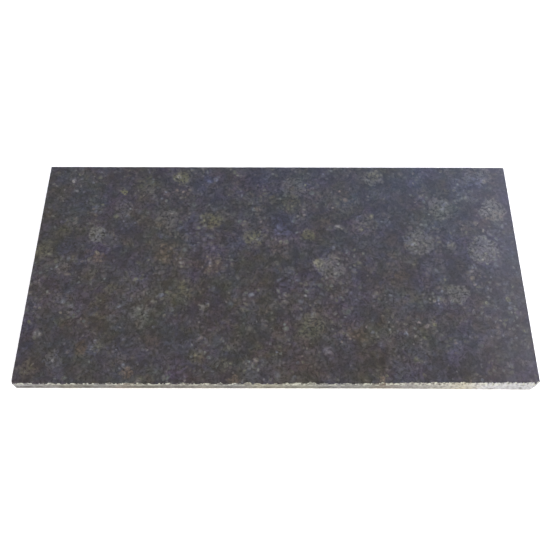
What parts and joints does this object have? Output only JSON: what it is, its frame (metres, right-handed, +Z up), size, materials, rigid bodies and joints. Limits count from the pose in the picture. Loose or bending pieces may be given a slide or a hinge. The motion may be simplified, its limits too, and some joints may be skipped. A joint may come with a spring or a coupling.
{
  "type": "granite slab",
  "caption": "Flat rectangular slab of dark polished granite with raw sawn edges, used as a hard, heavy work surface for stamping and tooling leather.",
  "frame": {"origin": "centre of the underside", "axes": "+X along the length, +Y from front to back, +Z up out of the polished top"},
  "size_m": [0.61, 0.305, 0.02],
  "materials": {
    "granite": "polished top, raw sawn sides and underside"
  },
  "bodies": {
    "root": {"granite_slab": "granite"}
  },
  "joints": []
}
